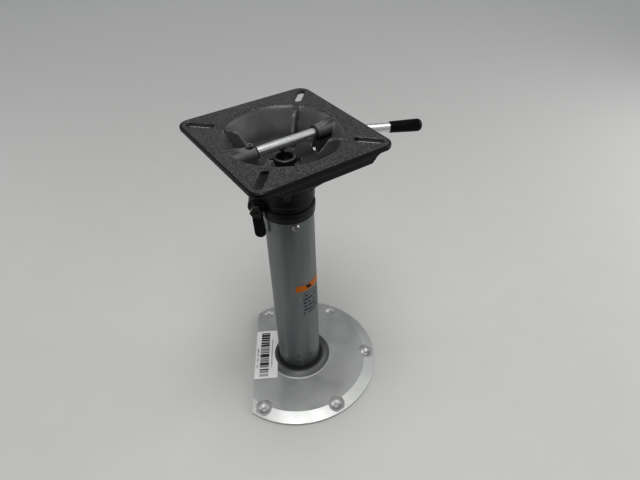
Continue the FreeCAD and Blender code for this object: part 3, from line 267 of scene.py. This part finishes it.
def anodised_tube():
    """Drawn tube, satin anodised: faint lines along Z and small handling marks."""
    look = Look("anodised_tube", Metallic=1.0, Anisotropic=0.3)
    drawn = look.noise(1.1, 4.0, 0.6, look.stretched(1.0, 1.0, 0.012))
    broad = look.noise(16.0, 2.0, 0.5, look.stretched(1.0, 1.0, 0.1))
    rub = look.noise(9.0, 6.0, 0.75)
    tone = look.mix(look.spread(broad, 0.35, 0.65), (0.215, 0.228, 0.232, 1), (0.27, 0.278, 0.278, 1))
    look.colour(look.mix(look.spread(rub, 0.60, 0.72, 0.0, 0.45), tone, (0.185, 0.19, 0.195, 1)))
    look.roughness(look.spread(look.math("ADD", drawn, look.math("MULTIPLY", rub, 0.6)),
                               0.5, 1.2, 0.40, 0.54))
    look.soft_edges(0.4)
    look.relief(drawn, 0.015)
    look.relief(look.noise(0.35, 2.0), 0.006)
    return look


def moulded_black(name, base, gloss, grain=0.02):
    """Moulded plastic: near black with dust in it, a fine grain, and paler edges from wear and a painted
    highlight.
    """
    look = Look(name, Specular_IOR_Level=0.28)
    dust = look.spread(look.noise(7.0, 6.0, 0.7), 0.52, 0.75, 0.0, 0.5)
    tone = look.mix(dust, grey(base), grey(base * 2.0, 0.04))
    # Edges get a paler grey: partly wear, partly a painted highlight along them.
    look.colour(look.mix(look.math("MULTIPLY", look.edge_wear_and_painted_highlight(0.5), 0.5), tone, grey(base * 8)))
    look.roughness(look.spread(look.noise(4.0, 5.0), 0.3, 0.7, gloss, gloss + 0.16))
    look.soft_edges(0.45)
    look.relief(look.noise(0.45, 3.0), grain)
    return look


def vinyl_grip():
    """Dipped vinyl: glossy black skin that sags a little, with fine dust."""
    look = Look("vinyl_grip", Specular_IOR_Level=0.12)
    dust = look.spread(look.noise(5.0, 6.0, 0.75), 0.5, 0.8, 0.0, 0.4)
    look.colour(look.mix(dust, grey(0.004), grey(0.014)))
    look.roughness(look.spread(look.noise(9.0, 4.0), 0.3, 0.7, 0.16, 0.30))
    look.relief(look.noise(6.0, 2.0), 0.12)
    look.relief(look.noise(0.5, 3.0), 0.008)
    return look


def plated_steel(name, base, gloss, blotch=0.6, tint=0.0):
    """Zinc, chrome or black plated steel with light scratches, and edges made bright partly by wear, partly
    by a painted highlight.
    """
    look = Look(name, Metallic=1.0)
    stain = look.spread(look.noise(5.0, 5.0, 0.7), 0.45, 0.75)
    tone = look.mix(stain, grey(base, tint), grey(base * blotch, tint))
    # Edge colour: wear, and a painted highlight along the edges.
    bright = grey(min(0.85, base * 1.8 + 0.12))
    look.colour(look.mix(look.math("MULTIPLY", look.edge_wear_and_painted_highlight(0.35), 0.6), tone, bright))
    scratches = look.noise(0.5, 3.0, 0.6, look.stretched(0.3, 1.0, 0.12))
    look.roughness(look.spread(look.math("ADD", scratches, look.math("MULTIPLY", stain, 0.4)), 0.4, 1.2,
                               gloss, gloss + 0.2))
    look.soft_edges(0.35)
    look.relief(scratches, 0.006)
    return look


def rubber():
    """Matt black rubber, dusty, with a fine grain."""
    look = Look("black_rubber", Specular_IOR_Level=0.35)
    look.colour(look.mix(look.spread(look.noise(3.0, 5.0), 0.45, 0.75), grey(0.018), grey(0.045)))
    look.roughness(look.spread(look.noise(2.0), 0.3, 0.7, 0.5, 0.72))
    look.soft_edges(0.4)
    look.relief(look.noise(0.4), 0.03)
    return look


def nylon_cage():
    """Amber nylon of the bearing's ball cage."""
    look = Look("cage_plastic", Subsurface_Weight=0.15)
    look.colour(look.mix(look.noise(2.0, 4.0), (0.36, 0.25, 0.12, 1), (0.48, 0.34, 0.18, 1)))
    look.roughness(look.spread(look.noise(1.0), 0.3, 0.7, 0.35, 0.5))
    look.relief(look.noise(0.3), 0.01)
    return look


def label_film():
    """Silvery film round the post with an orange band, a plain dark mark and rows of unreadable dashes."""
    band_rise, band_run = (172.5, 183.0), (-44.5, 0.6)
    mark_rise, mark_run, mark_slant = (174.5, 181.5), (68.0, 75.0), 0.55
    text_rise, text_run = (129.0, 169.0), (-36.0, -4.0)
    row_pitch, row_gap, row_seed = 6.6 * MM, 0.42, 31.37
    look = Look("label_film", Specular_IOR_Level=0.2)
    x, y, z = look.axes()
    along = look.math("MULTIPLY", look.math("ARCTAN2", y, x), POST_RADIUS)
    band = look.math("MULTIPLY", look.stripe(z, *band_rise), look.stripe(along, *band_run))
    slant = look.math("ADD", along, look.math("MULTIPLY", z, mark_slant))
    mark = look.math("MULTIPLY", look.stripe(z, *mark_rise), look.stripe(slant, *mark_run))
    row = look.math("FLOOR", look.math("DIVIDE", z, row_pitch))
    within = look.math("SUBTRACT", look.math("DIVIDE", z, row_pitch), row)
    dashes = look.random_bars(along, 1.6, 0.76, look.math("MULTIPLY", row, row_seed))
    ink = look.math("MULTIPLY", look.math("MULTIPLY", look.math("GREATER_THAN", within, row_gap), dashes),
                    look.math("MULTIPLY", look.stripe(z, *text_rise), look.stripe(along, *text_run)))
    film = look.mix(look.noise(14.0, 4.0), (0.215, 0.23, 0.237, 1), (0.27, 0.28, 0.283, 1))
    orange = look.mix(look.noise(3.0, 4.0), (0.46, 0.125, 0.004, 1), (0.56, 0.17, 0.006, 1))
    printed = look.mix(ink, look.mix(band, film, orange), (0.05, 0.06, 0.075, 1))
    look.colour(look.mix(mark, printed, (0.02, 0.018, 0.015, 1)))
    bare_film = look.spread(look.math("MAXIMUM", band, ink), 0.0, 1.0, 1.0, 0.0)
    look.feed(look.shader.inputs["Metallic"], bare_film)
    look.roughness(look.spread(look.noise(5.0, 4.0), 0.3, 0.7, 0.40, 0.52))
    look.relief(look.noise(2.5, 3.0), 0.02)
    return look


def sticker_paper():
    """White paper sticker with a stack of plain bars and two thin rows of dashes."""
    bar_width, bar_run = (-59.5, -46.5), (-38.5, 43.0)
    long_row, long_run = (-42.8, -41.2), (-24.0, 34.0)
    short_row, short_run = (-64.6, -62.4), (-22.0, 12.0)
    look = Look("sticker_paper", Specular_IOR_Level=0.4)
    x, y, _ = look.axes()
    bars = look.math("MULTIPLY", look.random_bars(y, 0.8, 0.60),
                     look.math("MULTIPLY", look.stripe(x, *bar_width), look.stripe(y, *bar_run)))
    long = look.math("MULTIPLY", look.random_bars(y, 0.9, 0.6, 40.0),
                     look.math("MULTIPLY", look.stripe(x, *long_row), look.stripe(y, *long_run)))
    short = look.math("MULTIPLY", look.random_bars(y, 1.0, 0.55, 90.0),
                      look.math("MULTIPLY", look.stripe(x, *short_row), look.stripe(y, *short_run)))
    ink = look.math("MAXIMUM", bars, look.math("MULTIPLY", look.math("MAXIMUM", long, short), 0.6))
    paper = look.mix(look.noise(9.0, 5.0), (0.80, 0.80, 0.785, 1), (0.87, 0.87, 0.855, 1))
    look.colour(look.mix(ink, paper, (0.035, 0.035, 0.038, 1)))
    look.roughness(look.spread(look.noise(3.0), 0.3, 0.7, 0.38, 0.52))
    look.relief(look.noise(6.0, 3.0), 0.05)
    look.relief(look.noise(0.25), 0.008)
    return look


LOOKS = {
    "machined_aluminium": machined_aluminium(),
    "anodised_tube": anodised_tube(),
    "black_rubber": rubber(),
    "turned_aluminium": plated_steel("turned_aluminium", 0.62, 0.28, 0.85),
    "steel_rivet": plated_steel("steel_rivet", 0.17, 0.34),
    "bush_plastic": moulded_black("bush_plastic", 0.018, 0.34),
    "zinc_steel": plated_steel("zinc_steel", 0.42, 0.25, 0.5, 0.02),
    "label_film": label_film(),
    "sticker_paper": sticker_paper(),
    "black_collar": moulded_black("black_collar", 0.007, 0.28),
    "black_steel": plated_steel("black_steel", 0.28, 0.16, 0.6, 0.05),
    "black_lever": moulded_black("black_lever", 0.006, 0.20),
    "bearing_steel": plated_steel("bearing_steel", 0.62, 0.10, 0.9),
    "cage_plastic": nylon_cage(),
    "hard_chrome": plated_steel("hard_chrome", 0.68, 0.06, 0.95),
    "black_tube_steel": moulded_black("black_tube_steel", 0.010, 0.18, 0.008),
    "hammertone_casting": hammertone_casting(),
    "zinc_rod": plated_steel("zinc_rod", 0.78, 0.32, 0.90),
    "vinyl_grip": vinyl_grip(),
}


def dress(piece, slot):
    """Gives a piece its slot's material."""
    piece.data.materials.clear()
    piece.data.materials.append(LOOKS[slot].material)


for name, item in NODES.items():
    for place in item.material_slots:
        place.material = LOOKS[SLOT_OF[name]].material


# ---------------------------------------------------------------- pieces finer than their CAD stand-ins

def replacing(node, name, mesh):
    """A new piece that takes a CAD node's place, body and slot."""
    piece = bpy.data.objects.new(name, mesh)
    bpy.context.scene.collection.objects.link(piece)
    dress(piece, SLOT_OF[node])
    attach(piece, BODY_OF[node])
    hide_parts(node)


def applied(piece):
    """The piece's mesh with its modifiers applied."""
    graph = bpy.context.evaluated_depsgraph_get()
    return bpy.data.meshes.new_from_object(piece.evaluated_get(graph))


def softened(node, name, voxel, passes):
    """The CAD node's shape remeshed to voxel millimetres and smoothed, for a casting's round corners."""
    source = bpy.data.objects.new(name + "_source", NODES[node].data.copy())
    bpy.context.scene.collection.objects.link(source)
    welder = bmesh.new()
    welder.from_mesh(source.data)
    bmesh.ops.remove_doubles(welder, verts=welder.verts, dist=0.002 * MM)
    welder.to_mesh(source.data)
    welder.free()
    remesh = source.modifiers.new("remesh", "REMESH")
    remesh.mode = "VOXEL"
    remesh.voxel_size = voxel * MM
    remesh.use_smooth_shade = True
    smooth = source.modifiers.new("smooth", "SMOOTH")
    smooth.factor = 0.5
    smooth.iterations = passes
    mesh = applied(source)
    bpy.data.objects.remove(source)
    mesh.name = name
    replacing(node, name, mesh)


for node, name, voxel, passes in (
        ("seat_mount", "seat_casting", 1.0, 5),
        ("hub_nut", "star_nut", 0.5, 3),
        ("clamp_collar", "clamp_ring", 0.5, 4),
        ("clamp_lever", "clamp_handle", 0.4, 4),
        ("release_cam", "cam_foot", 0.4, 3)):
    softened(node, name, voxel, passes)


# ---------------------------------------------------------------- studio and camera

def area_light(name, place, aim, width, height, power):
    """A rectangular lamp of that width and height in metres and power in watts, turned towards aim."""
    lamp = bpy.data.lights.new(name, "AREA")
    lamp.shape = "RECTANGLE"
    lamp.size = width
    lamp.size_y = height
    lamp.energy = power
    item = bpy.data.objects.new(name, lamp)
    item.location = place
    item.rotation_euler = (Vector(aim) - Vector(place)).to_track_quat("-Z", "Y").to_euler()
    bpy.context.scene.collection.objects.link(item)


def sheet(name, look, low, high):
    """A level rectangle between two corners."""
    mesh = bpy.data.meshes.new(name)
    mesh.from_pydata([low, (high[0], low[1], low[2]), high, (low[0], high[1], low[2])], [], [(0, 1, 2, 3)])
    item = bpy.data.objects.new(name, mesh)
    item.data.materials.append(look.material)
    bpy.context.scene.collection.objects.link(item)
    return item


def floor():
    """A wide pale floor with a faint mottle; painted light makes it paler with distance from the object."""
    look = Look("studio_floor", Specular_IOR_Level=0.2)
    pale = look.mix(look.noise(60.0, 3.0), (0.570, 0.572, 0.557, 1), (0.595, 0.597, 0.581, 1))
    # Painted light: the floor's colour grows paler from 0.35 m to 2.2 m out from the post's axis.
    painted_light_with_distance = look.spread(look.from_axis(), 0.35, 2.2)
    look.colour(look.mix(painted_light_with_distance, pale, (0.84, 0.84, 0.825, 1)))
    look.roughness(0.7)
    sheet("studio_floor", look, (-6.0, -6.0, 0.0), (6.0, 6.0, 0.0))


def dark_flag():
    """A dark card before the object, seen only in reflections, as the room behind a camera is."""
    look = Look("dark_flag", Specular_IOR_Level=0.0)
    look.colour(grey(0.02))
    card = sheet("dark_flag", look, (-0.75, -1.6, 0.01), (0.30, -0.30, 0.01))
    for ray in ("camera", "diffuse", "transmission", "volume_scatter", "shadow"):
        setattr(card, "visible_" + ray, False)


def world():
    """Even, faintly cool light from all round."""
    space = bpy.data.worlds.new("studio")
    space.use_nodes = True
    back = space.node_tree.nodes["Background"]
    back.inputs["Color"].default_value = (0.93, 0.95, 0.96, 1)
    back.inputs["Strength"].default_value = 0.44
    bpy.context.scene.world = space


def camera():
    """The view from the front, looking down about 40 degrees, as a hand-held phone would."""
    place = (0.0283, -0.5002, 0.6512)
    below_level, aside, roll = math.radians(39.75), math.radians(-4.28), math.radians(0.39)
    lens = bpy.data.cameras.new("camera")
    lens.sensor_width = 36.0
    lens.lens = 29.08
    lens.shift_x = -0.0367
    lens.shift_y = -0.001
    lens.clip_start = 0.01
    item = bpy.data.objects.new("camera", lens)
    item.matrix_world = (Matrix.Translation(place) @ Matrix.Rotation(aside, 4, "Z")
                         @ Matrix.Rotation(math.pi / 2 - below_level, 4, "X")
                         @ Matrix.Rotation(roll, 4, "Z"))
    bpy.context.scene.collection.objects.link(item)
    bpy.context.scene.camera = item


floor()
dark_flag()
world()
camera()
area_light("overhead", (0.0, -0.24, 1.50), (0, 0, 0), 0.45, 0.90, 11.5)
area_light("left_wall", (-1.3, 0.1, 0.7), (0, 0, 0.2), 0.8, 1.2, 3.2)
area_light("right_wall", (1.3, 0.2, 0.7), (0, 0, 0.2), 1.0, 1.2, 6.5)
bpy.context.scene.view_settings.view_transform = "Standard"
bpy.context.scene.view_settings.gamma = 0.82   # below 1 darkens the middle tones
